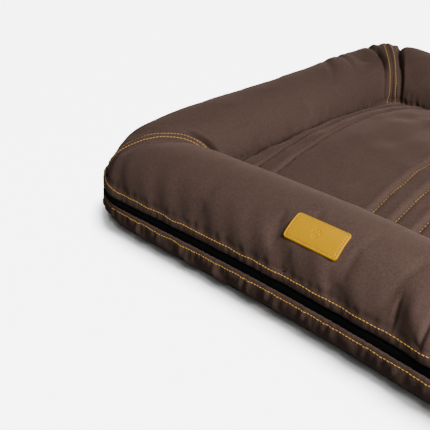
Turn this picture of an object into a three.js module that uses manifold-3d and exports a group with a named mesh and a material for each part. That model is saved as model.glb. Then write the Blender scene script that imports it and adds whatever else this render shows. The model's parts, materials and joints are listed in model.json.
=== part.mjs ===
// Rectangular pet cushion bed: a padded seat inside a ring of four mitred bolsters, in a fabric cover that
// a zip round the side wall divides into a base and a lift-off top.
// Millimetres, +Z up. The origin is the centre of the underside, +X runs to the right along the front edge
// and +Y to the back.
import * as THREE from "three";
import Module from "manifold-3d";
import { mergeVertices } from "three/addons/utils/BufferGeometryUtils.js";

const wasm = await Module();
wasm.setup();

// ---- Driving dimensions ----
const HALF_LENGTH = 415; // centre to the outer face of an end wall, along X
const HALF_WIDTH = 350; // centre to the outer face of the front wall, along Y
const CORNER_RADIUS = 100; // of the outer face, in plan
const INNER_CORNER_RADIUS = 12; // of the bolsters' inner faces, in plan
const BOLSTER_WIDTH = 142; // across a bolster, from the outer face to the inner face
const BED_HEIGHT = 125; // floor to the crest of a bolster
const SHOULDER_Z = 61; // height where a bolster is widest
const BOLSTER_ROUNDNESS = 2.2; // 2 is an ellipse, more is boxier
const FABRIC = 1.2; // thickness of the cover fabric with its backing
const CLEARANCE = 0.4; // between pieces that touch
const MITRE_GAP = 0.25; // each side of a corner seam, measured along the side
const WALL_DEPTH = 0.5; // how far the walls beside the zip stand back from the widest line

const ZIP_Z = 45; // the parting line between the two rows of the zip
const ZIP_OPENING = 17; // fabric edge to fabric edge across the zip
const STITCH_SPACING = 29; // upper topstitch to lower topstitch
const TAPE = { outer: 2.1, inner: 2.9, reach: 17, gap: 1.2 }; // depth range, height and half gap of a tape
const COIL = { outer: -0.2, inner: 1.8, height: 3, gap: 0.6 }; // one row of the zip's coil
const ZIP_START_X = -14; // on the back wall, where the zip starts at its retainer box
const ZIP_END_X = 5; // on the back wall, where the zip ends at its stops
const WALL_TUCK = 16.5; // how far the lower wall curls in under the bed
const BASE_INSET = 13; // outer face to the base panel's edge
const BASE_THICKNESS = 1.5;
// A bolster's filled bag, inside its cover.
const INSERT = { side: 5, top: 2.6, bottom: 2, heel: 26, shin: 8, toe: 13.5 };

const SEAT_RIM_Z = 66;
const SEAT_CROWN = 47; // rise of the seat from its rim to its centre
const SEAT_SKIRT_Z = 57; // bottom of the seam between the seat and the bolsters
const SEAT_ROUNDNESS = 4; // of the padded area, in plan
const SEAT_BULGE = { inner: 3, outer: 0.6 }; // exponents of the crown's profile
const WADDING = 6; // thickness of the quilted wadding

const THREAD_RADIUS = 0.45;
const THREAD_STANDOFF = THREAD_RADIUS + CLEARANCE;
const SEAM_TO_STITCH = 4.5; // corner seam to each of its two rows of topstitch
const QUILT_ROWS = { outer_left: -227, inner_left: -192, middle_left: -33, middle: 0, middle_right: 33,
  inner_right: 192, outer_right: 227 }; // X of each front-to-back row
const QUILT_END_SHARE = 0.93; // how near to the rim a row of quilting runs
const QUILT_LIFT = 0.8; // the straight bits of a row clear the seat's curve
const LABEL = { length: 73, width: 34, thickness: 1.6, corner: 4.5, inset: 28, lift: 1.2, tilt: 31, x: -6 };

const SLIDER_REST_X = 16;
const SLIDER = { length: 14, height: 11, face: 1.9, plate: 1.3, plateDepth: 3.3, nose: 4, web: 0.6 };
// Two ears on the slider's face, about the parting line, and the cross pin they hold.
const LUG = { halfLength: 2, near: 1.9, far: 3.7, reach: 7 };
const PIN = { radius: 0.8, length: 7, standoff: 5.4, behind: 2.5 };
const PULL = { eye: 2.4, hole: 1.15, neck: 2.8, neckEnd: 6, grip: 6.4, corner: 2.2,
  length: 27, thickness: 1.4 };
// Zip ends, each beside the parting line.
const BOX = { length: 7, outer: 1.8, inner: 1.7, near: 0.3, far: 3.6 };
const INSERTION_PIN = { outer: 1.4, inner: 1.7, near: 0.3, far: 3.2 };
const STOP = { length: 2.4, outer: 0.9, inner: 1.7, near: 0.7, far: 3.8 };

// Fineness of the curved faces
const ARC_STEPS = 4; // from the middle of a corner to one of its ends
const ARCH_STEPS = 14; // over a bolster
const SEAT_STEPS = 44; // round the seat

const COLOURS = { brown: 0x5c4840, underside: 0x2a2624, black: 0x131517, yellow: 0xc79a35,
  leather: 0xecb301, liner: 0xe6e3dc, wadding: 0xf2f1ee, metal: 0x2b2d30 };

// ---- Plan of the bed ----
// The four sides in turn, counter-clockwise. u runs along a side and n inwards from the outer face.
const SIDES = {
  front: { half: HALF_LENGTH, place: (u, n) => [u, -HALF_WIDTH + n] },
  right: { half: HALF_WIDTH, place: (u, n) => [HALF_LENGTH - n, u] },
  back: { half: HALF_LENGTH, place: (u, n) => [-u, HALF_WIDTH - n] },
  left: { half: HALF_WIDTH, place: (u, n) => [-HALF_LENGTH + n, -u] },
};

// Corner radius of the offset line n inside the outer face.
function cornerRadius(n) {
  const share = Math.max(0, 1 - Math.max(n, 0) / BOLSTER_WIDTH);
  return INNER_CORNER_RADIUS + (CORNER_RADIUS - INNER_CORNER_RADIUS) * Math.pow(share, 1.35);
}

// A point on a side. A station is {u} on the straight, or {end, phi} on the arc towards the next corner.
function sidePoint(side, station, n, z, shorten = 0) {
  const { half, place } = SIDES[side];
  if (station.u !== undefined) return new THREE.Vector3(...place(station.u, n), z);
  const r = cornerRadius(n);
  const centre = half - shorten - n - r;
  const u = station.end * (centre + r * Math.sin(station.phi));
  return new THREE.Vector3(...place(u, n + r - r * Math.cos(station.phi)), z);
}

function arcStations(end, count) {
  return Array.from({ length: count + 1 }, (_, i) => ({ end, phi: (Math.PI / 4) * (i / count) }));
}

// One side from mitre to mitre.
function mitreStations(count = ARC_STEPS) {
  return [...arcStations(-1, count).reverse(), ...arcStations(1, count)];
}

// ---- Solids from rings of points ----
// Joins rings of equal length into a closed body. The end caps are fans, or follow the flat section given.
function loft(rings, { closed = false, section = null } = {}) {
  const count = rings[0].length;
  const points = rings.flat();
  const faces = [];
  const last = closed ? rings.length : rings.length - 1;
  for (let i = 0; i < last; i++) {
    const next = (i + 1) % rings.length;
    for (let j = 0; j < count; j++) {
      const k = (j + 1) % count;
      faces.push([i * count + j, next * count + j, next * count + k]);
      faces.push([i * count + j, next * count + k, i * count + k]);
    }
  }
  if (!closed) {
    const capped = (base, reversed) => {
      const add = (a, b, c) => faces.push(reversed ? [a, c, b] : [a, b, c]);
      if (section) {
        const flat = section.map(([x, y]) => new THREE.Vector2(x, y));
        const inOrder = THREE.ShapeUtils.area(flat) > 0;
        for (const [a, b, c] of THREE.ShapeUtils.triangulateShape(flat, []))
          inOrder ? add(base + a, base + b, base + c) : add(base + a, base + c, base + b);
        return;
      }
      const centre = points.slice(base, base + count).reduce((s, p) => s.add(p), new THREE.Vector3());
      points.push(centre.divideScalar(count));
      for (let j = 0; j < count; j++) add(base + j, base + ((j + 1) % count), points.length - 1);
    };
    capped(0, false);
    capped((rings.length - 1) * count, true);
  }
  return facingOut(points, faces);
}

// Builds the geometry, turning every face if the body came out inside out.
function facingOut(points, faces) {
  const volume = faces.reduce((sum, [a, b, c]) => {
    const cross = new THREE.Vector3().crossVectors(points[b], points[c]);
    return sum + points[a].dot(cross);
  }, 0);
  const index = faces.flatMap(([a, b, c]) => (volume < 0 ? [a, c, b] : [a, b, c]));
  const geometry = new THREE.BufferGeometry().setFromPoints(points);
  geometry.setIndex(index);
  geometry.computeVertexNormals();
  return geometry;
}

function toSolid(geometry) {
  const bare = geometry.clone();
  bare.deleteAttribute("normal");
  bare.deleteAttribute("uv");
  const merged = mergeVertices(bare, 1e-4);
  return new wasm.Manifold(new wasm.Mesh({
    numProp: 3,
    vertProperties: new Float32Array(merged.attributes.position.array),
    triVerts: new Uint32Array(merged.index.array),
  }));
}

function fromSolid(solid) {
  const { vertProperties, triVerts } = solid.getMesh();
  const geometry = new THREE.BufferGeometry();
  geometry.setAttribute("position", new THREE.BufferAttribute(vertProperties, 3));
  geometry.setIndex(new THREE.BufferAttribute(triVerts, 1));
  geometry.computeVertexNormals();
  return geometry;
}

// A box from its lowest and highest corners.
function block([x0, y0, z0], [x1, y1, z1]) {
  const geometry = new THREE.BoxGeometry(x1 - x0, y1 - y0, z1 - z0);
  return geometry.translate((x0 + x1) / 2, (y0 + y1) / 2, (z0 + z1) / 2);
}

function united(...geometries) {
  return geometries.map(toSolid).reduce((sum, solid) => sum.add(solid));
}

// ---- Sections of a bolster, as [n, z] ----
const ARCH_HALF_WIDTH = BOLSTER_WIDTH / 2;
const ARCH_HEIGHT = BED_HEIGHT - SHOULDER_Z;

// A point on the arch of a bolster, t from 0 at the outer shoulder to 1 at the inner one, taken in by inset.
function archPoint(t, inset = 0, insetHeight = inset) {
  const angle = Math.PI * (1 - t);
  const power = 2 / BOLSTER_ROUNDNESS;
  const across = Math.sign(Math.cos(angle)) * Math.pow(Math.abs(Math.cos(angle)), power);
  const up = Math.pow(Math.abs(Math.sin(angle)), power);
  const n = ARCH_HALF_WIDTH + (ARCH_HALF_WIDTH - inset) * across;
  return [n, SHOULDER_Z + (ARCH_HEIGHT - insetHeight) * up];
}

function arch(count, inset, insetHeight) {
  return Array.from({ length: count + 1 }, (_, i) => archPoint(i / count, inset, insetHeight));
}

// The curve of the lower wall from below the zip to its tuck under the bed.
function tuck(count, inset) {
  return Array.from({ length: count + 1 }, (_, i) => {
    const angle = (Math.PI / 2) * (i / count);
    const top = ZIP_Z - STITCH_SPACING / 2;
    const floor = BASE_THICKNESS + CLEARANCE;
    return [
      WALL_DEPTH + inset + WALL_TUCK * (1 - Math.cos(angle)),
      top - (top - floor - inset * 0.9) * Math.sin(angle),
    ];
  });
}

function coverSection() {
  const edge = ZIP_Z + ZIP_OPENING / 2;
  const outer = [[WALL_DEPTH, edge], ...arch(ARCH_STEPS, 0), [BOLSTER_WIDTH, SEAT_SKIRT_Z]];
  const inside = arch(ARCH_STEPS, FABRIC).reverse();
  return [...outer, [BOLSTER_WIDTH - FABRIC, SEAT_SKIRT_Z], ...inside, [WALL_DEPTH + FABRIC, edge]];
}

function lowerWallSection() {
  const edge = ZIP_Z - ZIP_OPENING / 2;
  return [[WALL_DEPTH, edge], ...tuck(5, 0), ...tuck(5, FABRIC).reverse(), [WALL_DEPTH + FABRIC, edge]];
}

// The filled bag keeps clear of the zip's tapes and of the slider's back plate.
function insertSection() {
  const { side, top, bottom, heel, shin, toe } = INSERT;
  return [
    ...arch(10, side, top),
    [BOLSTER_WIDTH - side, heel],
    [BOLSTER_WIDTH - side - 6, shin],
    [BOLSTER_WIDTH - side - 18, bottom],
    [toe + 9, bottom],
    [toe, shin],
    [side + 2, heel - 7],
    [side, heel + 5],
  ];
}

// A section carried along one side between its two mitres.
function sidePiece(side, section, count) {
  const rings = mitreStations(count).map((station) =>
    section.map(([n, z]) => sidePoint(side, station, n, z, MITRE_GAP)));
  return loft(rings, { section });
}

// ---- Bands that run round the bed ----
function allStations(count = ARC_STEPS) {
  return ["front", "right", "back", "left"].flatMap((side) =>
    mitreStations(count).slice(0, -1).map((station) => ({ side, station })));
}

// The zip's way: from its start on the back wall, round the left, the front and the right, to its end.
function zipStations(startX, endX, count = ARC_STEPS) {
  const backStart = { side: "back", station: { u: -startX } };
  const backEnd = { side: "back", station: { u: -endX } };
  const turn = (side, end) => arcStations(end, count).map((station) => ({ side, station }));
  const around = ["left", "front", "right"].flatMap((side) => [
    ...turn(side, -1).reverse().slice(1), ...turn(side, 1)]);
  return [backStart, ...turn("back", 1), ...around, ...turn("back", -1).reverse().slice(1), backEnd];
}

function band(stations, section, closed) {
  const rings = stations.map(({ side, station }) => section.map(([n, z]) => sidePoint(side, station, n, z)));
  return loft(rings, closed ? { closed } : { section });
}

function strip(n0, n1, z0, z1) {
  return [[n0, z0], [n1, z0], [n1, z1], [n0, z1]];
}

function zipBand(spec, sign, startX, endX) {
  const near = ZIP_Z + sign * spec.gap;
  const far = ZIP_Z + sign * (spec.gap + (spec.reach ?? spec.height));
  const section = strip(spec.outer, spec.inner, Math.min(near, far), Math.max(near, far));
  return band(zipStations(startX, endX), section, false);
}

// A row of topstitch round the wall, as the thread's outline.
function wallStitch(z) {
  const section = Array.from({ length: 6 }, (_, i) => {
    const angle = (Math.PI * i) / 3;
    const n = WALL_DEPTH - THREAD_STANDOFF + THREAD_RADIUS * Math.cos(angle);
    return [n, z + THREAD_RADIUS * Math.sin(angle)];
  });
  return band(allStations(), section, true);
}

// ---- Threads along a free line ----
function thread(points, steps) {
  const round = new THREE.Shape();
  round.absarc(0, 0, THREAD_RADIUS, 0, Math.PI * 2);
  const path = new THREE.CatmullRomCurve3(points);
  return new THREE.ExtrudeGeometry(round, { steps, extrudePath: path, curveSegments: 3 });
}

// One of the two rows beside a corner seam, on the bolster's end towards the next corner or the last one.
function cornerStitch(side, end) {
  const points = [];
  for (let i = 0; i <= 16; i++) {
    const [n, z] = archPoint(0.02 + (0.96 * i) / 16, -THREAD_STANDOFF - 0.3);
    const phi = Math.PI / 4 - SEAM_TO_STITCH / cornerRadius(n);
    points.push(sidePoint(side, { end, phi }, n, z));
  }
  return thread(points, 20);
}

// ---- The seat ----
const SEAT_A = HALF_LENGTH - BOLSTER_WIDTH - 0.6;
const SEAT_B = HALF_WIDTH - BOLSTER_WIDTH - 0.6;

function superEllipse(roundness, share, inset, t) {
  const power = 2 / roundness;
  const signed = (v) => Math.sign(v) * Math.pow(Math.abs(v), power);
  return [(SEAT_A - inset) * share * signed(Math.cos(t)), (SEAT_B - inset) * share * signed(Math.sin(t))];
}

function seatRing(roundness, share, inset, z, count = SEAT_STEPS) {
  return Array.from({ length: count }, (_, i) => {
    const [x, y] = superEllipse(roundness, share, inset, (2 * Math.PI * (i + 0.5)) / count);
    return new THREE.Vector3(x, y, z);
  });
}

// Height of the seat's surface at a share of the way from its centre to its rim.
function seatHeight(share) {
  if (share >= 1) return SEAT_RIM_Z;
  return SEAT_RIM_Z + SEAT_CROWN * Math.pow(1 - Math.pow(share, SEAT_BULGE.inner), SEAT_BULGE.outer);
}

function seatHeightAt(x, y) {
  const q = SEAT_ROUNDNESS;
  return seatHeight(Math.pow(Math.pow(Math.abs(x) / SEAT_A, q) + Math.pow(Math.abs(y) / SEAT_B, q), 1 / q));
}

const RIM_ROUNDNESS = 16;
const SHARES = [0.99, 0.96, 0.9, 0.8, 0.65, 0.45, 0.2];

function crownRings(shares, drop) {
  return shares.map((share) => seatRing(SEAT_ROUNDNESS, share, 0, seatHeight(share) - drop));
}

function seatPanel() {
  const outside = [
    seatRing(RIM_ROUNDNESS, 1, 0, SEAT_SKIRT_Z),
    seatRing(RIM_ROUNDNESS, 1, 0, SEAT_RIM_Z - 1),
    seatRing(RIM_ROUNDNESS, 1, 1, SEAT_RIM_Z),
    ...crownRings(SHARES, 0),
  ].reverse();
  const inside = [
    seatRing(RIM_ROUNDNESS, 1, FABRIC, SEAT_SKIRT_Z),
    seatRing(RIM_ROUNDNESS, 1, FABRIC, SEAT_RIM_Z - FABRIC - 0.8),
    seatRing(RIM_ROUNDNESS, 1, FABRIC + 1, SEAT_RIM_Z - FABRIC),
    ...crownRings(SHARES, FABRIC),
  ];
  return loft([...outside, ...inside]);
}

function seatWadding() {
  const shares = SHARES.filter((share) => share <= 0.96);
  const drop = FABRIC + CLEARANCE;
  return loft([...crownRings(shares, drop).reverse(), ...crownRings(shares, drop + WADDING)]);
}

function seatInsert() {
  const drop = FABRIC + WADDING + 3 * CLEARANCE;
  return loft([
    seatRing(8, 1, 3.5, BASE_THICKNESS + 0.5),
    seatRing(8, 1, 3.5, 50),
    seatRing(7, 1, 8, SEAT_SKIRT_Z),
    ...crownRings(SHARES.filter((share) => share <= 0.96), drop),
  ]);
}

// Half the length of the quilting row at x, which stops short of the seat's rim.
function quiltReach(x) {
  const q = SEAT_ROUNDNESS;
  return SEAT_B * Math.pow(Math.pow(QUILT_END_SHARE, q) - Math.pow(Math.abs(x) / SEAT_A, q), 1 / q);
}

function quiltThread(x) {
  const reach = quiltReach(x);
  const points = Array.from({ length: 15 }, (_, i) => {
    const y = reach * (i / 7 - 1);
    return new THREE.Vector3(x, y, seatHeightAt(x, y) + THREAD_STANDOFF + QUILT_LIFT);
  });
  return thread(points, 18);
}

// ---- Base, label and zip hardware ----
function roundedRectangle(halfX, halfY, radius) {
  const shape = new THREE.Shape();
  shape.absarc(halfX - radius, halfY - radius, radius, 0, Math.PI / 2);
  shape.absarc(-halfX + radius, halfY - radius, radius, Math.PI / 2, Math.PI);
  shape.absarc(-halfX + radius, -halfY + radius, radius, Math.PI, 1.5 * Math.PI);
  shape.absarc(halfX - radius, -halfY + radius, radius, 1.5 * Math.PI, 2 * Math.PI);
  shape.closePath();
  return shape;
}

function plate(shape, depth) {
  return new THREE.ExtrudeGeometry(shape, { depth, bevelEnabled: false, curveSegments: 8 });
}

function basePanel() {
  const radius = cornerRadius(BASE_INSET);
  return plate(roundedRectangle(HALF_LENGTH - BASE_INSET, HALF_WIDTH - BASE_INSET, radius), BASE_THICKNESS);
}

// Block against the back wall: x range, depth range n and z range.
function backBlock([x0, x1], [n0, n1], [z0, z1]) {
  return block([x0, HALF_WIDTH - n1, z0], [x1, HALF_WIDTH - n0, z1]);
}

// Block beside the parting line, above it for sign 1 and below it for sign -1.
function besideLine(x, { outer, inner, near, far }, sign) {
  const z = [ZIP_Z + sign * near, ZIP_Z + sign * far].sort((a, b) => a - b);
  return backBlock(x, [-outer, inner], z);
}

function endTab() {
  const reach = ZIP_OPENING / 2 - 0.5;
  const depth = [WALL_DEPTH, WALL_DEPTH + FABRIC];
  return backBlock([ZIP_START_X + 1, ZIP_END_X - 1], depth, [ZIP_Z - reach, ZIP_Z + reach]);
}

const BOX_X = [ZIP_START_X - BOX.length, ZIP_START_X];
const STOP_X = [ZIP_END_X, ZIP_END_X + STOP.length];
const PIN_Y = HALF_WIDTH + PIN.standoff;
const PIN_X = SLIDER_REST_X - PIN.behind;

function slider() {
  const x = [SLIDER_REST_X - SLIDER.length / 2, SLIDER_REST_X + SLIDER.length / 2];
  const z = [ZIP_Z - SLIDER.height / 2, ZIP_Z + SLIDER.height / 2];
  const front = 0.5 - COIL.outer; // how far the face stands outside the plan line
  const face = backBlock(x, [-front - SLIDER.face, -front], z);
  const back = backBlock(x, [SLIDER.plateDepth, SLIDER.plateDepth + SLIDER.plate], z);
  const nose = [x[1] - SLIDER.nose, x[1]];
  const webZ = [ZIP_Z - SLIDER.web / 2, ZIP_Z + SLIDER.web / 2];
  const web = backBlock(nose, [-front - 0.2, SLIDER.plateDepth + 0.2], webZ);
  const ear = { outer: LUG.reach, inner: -front - SLIDER.face + 0.2, near: LUG.near, far: LUG.far };
  const lug = (sign) => besideLine([PIN_X - LUG.halfLength, PIN_X + LUG.halfLength], ear, sign);
  const pin = new THREE.CylinderGeometry(PIN.radius, PIN.radius, PIN.length, 16);
  pin.rotateX(Math.PI / 2).translate(PIN_X, PIN_Y, ZIP_Z);
  return fromSolid(united(face, back, web, lug(1), lug(-1), pin));
}

function pullTab() {
  const half = PULL.thickness / 2;
  const round = (radius, height) => new THREE.CylinderGeometry(radius, radius, height, 24)
    .rotateX(Math.PI / 2).translate(PIN_X, PIN_Y, ZIP_Z);
  const neck = block([PIN_X + PULL.hole + 0.45, PIN_Y - half, ZIP_Z - PULL.neck / 2],
    [PIN_X + PULL.neckEnd, PIN_Y + half, ZIP_Z + PULL.neck / 2]);
  const gripHalf = PULL.length / 2 - PULL.corner;
  const grip = plate(roundedRectangle(gripHalf, PULL.grip / 2, PULL.corner), PULL.thickness);
  grip.rotateX(Math.PI / 2).translate(PIN_X + PULL.neckEnd - 1.5 + gripHalf, PIN_Y + half, ZIP_Z);
  const hole = toSolid(round(PULL.hole, 10));
  return fromSolid(united(round(PULL.eye, PULL.neck), neck, grip).subtract(hole));
}

function label() {
  const shape = roundedRectangle(LABEL.length / 2, LABEL.width / 2, LABEL.corner);
  const across = (LABEL.inset - ARCH_HALF_WIDTH) / ARCH_HALF_WIDTH;
  const up = Math.pow(1 - Math.pow(Math.abs(across), BOLSTER_ROUNDNESS), 1 / BOLSTER_ROUNDNESS);
  const geometry = plate(shape, LABEL.thickness).translate(0, 0, LABEL.lift);
  geometry.rotateX(THREE.MathUtils.degToRad(LABEL.tilt));
  return geometry.translate(LABEL.x, -HALF_WIDTH + LABEL.inset, SHOULDER_Z + ARCH_HEIGHT * up);
}

// ---- Assembly ----
const bed = new THREE.Group();

function add(name, geometry, colour, roughness = 0.9, metalness = 0) {
  const material = new THREE.MeshStandardMaterial({ color: COLOURS[colour], roughness, metalness });
  const mesh = new THREE.Mesh(geometry, material);
  mesh.name = name;
  bed.add(mesh);
}

add("base_panel", basePanel(), "underside");
for (const side of Object.keys(SIDES)) {
  add(`lower_wall_${side}`, sidePiece(side, lowerWallSection()), "brown", 0.75);
  add(`bolster_cover_${side}`, sidePiece(side, coverSection()), "brown", 0.75);
  add(`bolster_insert_${side}`, sidePiece(side, insertSection()), "liner");
  add(`corner_topstitch_${side}_start`, cornerStitch(side, -1), "yellow", 0.6);
  add(`corner_topstitch_${side}_end`, cornerStitch(side, 1), "yellow", 0.6);
}
add("seat_panel", seatPanel(), "brown", 0.75);
add("seat_wadding", seatWadding(), "wadding");
add("seat_insert", seatInsert(), "liner");

add("upper_zip_tape", zipBand(TAPE, 1, ZIP_START_X, ZIP_END_X), "black");
add("lower_zip_tape", zipBand({ ...TAPE, reach: 14.5 }, -1, ZIP_START_X, ZIP_END_X), "black");
const coilStartX = BOX_X[0] - CLEARANCE;
const coilEndX = STOP_X[1] + CLEARANCE;
add("upper_zip_coil", zipBand(COIL, 1, coilStartX, coilEndX), "black", 0.5);
add("lower_zip_coil", zipBand(COIL, -1, coilStartX, coilEndX), "black", 0.5);
add("zip_retainer_box", besideLine(BOX_X, BOX, -1), "black", 0.4);
add("zip_insertion_pin", besideLine(BOX_X, INSERTION_PIN, 1), "black", 0.4);
add("zip_upper_stop", besideLine(STOP_X, STOP, 1), "metal", 0.35, 1);
add("zip_lower_stop", besideLine(STOP_X, STOP, -1), "metal", 0.35, 1);
add("zip_end_tab", endTab(), "brown", 0.75);
add("zip_slider", slider(), "metal", 0.35, 1);
add("zip_pull_tab", pullTab(), "metal", 0.35, 1);

add("upper_zip_topstitch", wallStitch(ZIP_Z + STITCH_SPACING / 2), "yellow", 0.6);
add("lower_zip_topstitch", wallStitch(ZIP_Z - STITCH_SPACING / 2 + 1), "yellow", 0.6);
for (const [row, x] of Object.entries(QUILT_ROWS)) add(`quilt_stitch_${row}`, quiltThread(x), "yellow", 0.6);
add("leather_label", label(), "leather", 0.45);

export default bed;
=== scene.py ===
"""The looks of a pet cushion bed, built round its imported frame.

The bolsters and the seat are inflated by cloth simulation between the seams that hold them. Puckers, creases,
topstitches, the zip, the label and the materials follow. Metres, +Z up: X runs along the front of the bed and
the outer face of the front wall looks to -Y.
"""

import json
import math

import bpy
import numpy as np
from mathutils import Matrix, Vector


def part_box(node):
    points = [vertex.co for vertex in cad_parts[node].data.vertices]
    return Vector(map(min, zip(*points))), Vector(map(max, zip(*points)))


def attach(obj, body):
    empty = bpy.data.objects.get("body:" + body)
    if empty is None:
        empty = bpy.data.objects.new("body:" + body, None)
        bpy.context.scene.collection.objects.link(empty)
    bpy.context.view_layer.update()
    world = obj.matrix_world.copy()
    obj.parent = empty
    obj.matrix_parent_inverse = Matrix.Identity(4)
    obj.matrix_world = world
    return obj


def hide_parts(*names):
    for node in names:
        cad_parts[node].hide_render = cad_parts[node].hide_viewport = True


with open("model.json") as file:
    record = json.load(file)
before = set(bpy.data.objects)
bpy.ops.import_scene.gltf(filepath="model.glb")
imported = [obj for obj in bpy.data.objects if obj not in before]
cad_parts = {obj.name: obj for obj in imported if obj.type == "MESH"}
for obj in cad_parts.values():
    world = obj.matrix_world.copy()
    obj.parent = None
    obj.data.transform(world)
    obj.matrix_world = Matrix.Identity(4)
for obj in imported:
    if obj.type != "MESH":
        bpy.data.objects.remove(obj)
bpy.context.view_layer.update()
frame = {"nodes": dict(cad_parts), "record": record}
MM = 0.001

# ---- The bed's plan and sections, from the frame ----
HALF_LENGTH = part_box("bolster_cover_right")[1].x
HALF_WIDTH = -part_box("bolster_cover_front")[0].y
CREST_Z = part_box("bolster_cover_front")[1].z
SEAT_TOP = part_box("seat_panel")[1].z
FACING_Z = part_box("bolster_cover_front")[0].z  # where the cover ends above the zip
WALL_TOP_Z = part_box("lower_wall_front")[1].z  # where the lower wall starts below the zip
ZIP_Z = (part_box("upper_zip_tape")[0].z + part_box("lower_zip_tape")[1].z) / 2
BASE_TOP_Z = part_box("base_panel")[1].z
UPPER_STITCH_Z = (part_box("upper_zip_topstitch")[0].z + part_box("upper_zip_topstitch")[1].z) / 2
LOWER_STITCH_Z = (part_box("lower_zip_topstitch")[0].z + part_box("lower_zip_topstitch")[1].z) / 2

BOLSTER_WIDTH = 142 * MM
SHOULDER_Z = 61 * MM
ROUNDNESS = 2.2  # of a bolster's section: 2 is an ellipse
OUTER_RADIUS = 107 * MM
INNER_RADIUS = 12 * MM
WALL_TUCK = 16.5 * MM
SEAM_TO_STITCH = 6 * MM
FACING_DROP = 1.0 * MM  # the cover hangs this much lower over the zip than in the frame
SIDES = ("front", "right", "back", "left")
DEPTH_OF = (HALF_WIDTH, HALF_LENGTH, HALF_WIDTH, HALF_LENGTH)  # centre to each side's outer face
HALF_OF = (HALF_LENGTH, HALF_WIDTH, HALF_LENGTH, HALF_WIDTH)  # centre to each side's two ends
# For each side: how far it draws in at its middle, how far the zip lies back between cover and wall, and how
# far the cover's edge hangs over the zip. The slider runs on the back, which stays straight.
BOW_OF = (8 * MM, 4 * MM, 0.0, 4 * MM)
RECESS_OF = (6 * MM, 6 * MM, 0.0, 6 * MM)
HANG_OF = (3 * MM, 3 * MM, 0.0, 3 * MM)

# ---- Camera and light ----
CAMERA = {"azimuth": 46.764, "elevation": 28.68, "distance": 0.9565, "lens": 64.48}
CAMERA_TARGET = Vector((-0.1777, -0.2975, 0.06))


def make_camera():
    data = bpy.data.cameras.new("camera")
    data.lens, data.sensor_width = CAMERA["lens"], 36
    camera = bpy.data.objects.new("camera", data)
    a, e = math.radians(CAMERA["azimuth"]), math.radians(CAMERA["elevation"])
    back = Vector((math.sin(a) * math.cos(e), -math.cos(a) * math.cos(e), math.sin(e)))
    camera.location = CAMERA_TARGET + back * CAMERA["distance"]
    camera.rotation_euler = back.to_track_quat("Z", "Y").to_euler()
    bpy.context.collection.objects.link(camera)
    bpy.context.scene.camera = camera


def soft_sun(name, towards, strength, softness):
    """Even light from a direction, from a source that looks softness degrees wide."""
    data = bpy.data.lights.new(name, "SUN")
    data.energy, data.angle = strength, math.radians(softness)
    light = bpy.data.objects.new(name, data)
    light.rotation_euler = Vector(towards).to_track_quat("Z", "Y").to_euler()
    bpy.context.collection.objects.link(light)
    return light


def soft_box(name, place_at, size, power):
    """A square studio lamp that faces the bed's near corner."""
    data = bpy.data.lights.new(name, "AREA")
    data.energy, data.size = power, size
    light = bpy.data.objects.new(name, data)
    light.location = place_at
    light.rotation_euler = (Vector(place_at) - CAMERA_TARGET).to_track_quat("Z", "Y").to_euler()
    bpy.context.collection.objects.link(light)
    return light


def make_studio():
    world = bpy.data.worlds.new("studio")
    bpy.context.scene.world = world
    world.use_nodes = True
    world.node_tree.nodes["Background"].inputs["Color"].default_value = (1, 1, 1, 1)
    world.node_tree.nodes["Background"].inputs["Strength"].default_value = 0.03
    return [
        soft_box("key", (1.0, -0.5, 0.95), 0.6, 40.0),
        soft_sun("overhead", (0.15, -0.05, 1.0), 0.66, 50),
        soft_sun("low_fill", (-0.1, -1.0, 0.3), 0.5, 60),
        soft_sun("floor_glow", (-0.4, -1.0, -0.9), 0.2, 90),
        soft_sun("back_fill", (0.0, 1.0, 0.05), 0.7, 25),
    ]


# ---- Shader arithmetic ----
def connect(tree, slot, value):
    if isinstance(value, Value):
        tree.links.new(value.socket, slot)
    else:
        slot.default_value = value


class Value:
    """A shader socket that takes part in Python sums."""

    def __init__(self, tree, socket):
        self.tree, self.socket = tree, socket

    def math(self, operation, *others, flip=False):
        node = self.tree.nodes.new("ShaderNodeMath")
        node.operation = operation
        terms = [self, *others]
        for slot, term in zip(node.inputs, reversed(terms) if flip else terms):
            connect(self.tree, slot, term)
        return Value(self.tree, node.outputs[0])

    def __add__(self, other):
        return self.math("ADD", other)

    def __sub__(self, other):
        return self.math("SUBTRACT", other)

    def __rsub__(self, other):
        return self.math("SUBTRACT", other, flip=True)

    def __mul__(self, other):
        return self.math("MULTIPLY", other)

    def __truediv__(self, other):
        return self.math("DIVIDE", other)

    def __pow__(self, other):
        return self.math("POWER", other)

    __radd__, __rmul__ = __add__, __mul__

    def sine(self):
        return self.math("SINE")

    def size(self):
        return self.math("ABSOLUTE")

    def step(self, low, high):
        """0 below low and 1 above high, smooth between."""
        node = self.tree.nodes.new("ShaderNodeMapRange")
        node.interpolation_type = "SMOOTHSTEP"
        for name, value in (("Value", self), ("From Min", low), ("From Max", high)):
            connect(self.tree, node.inputs[name], value)
        return Value(self.tree, node.outputs["Result"])


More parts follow.
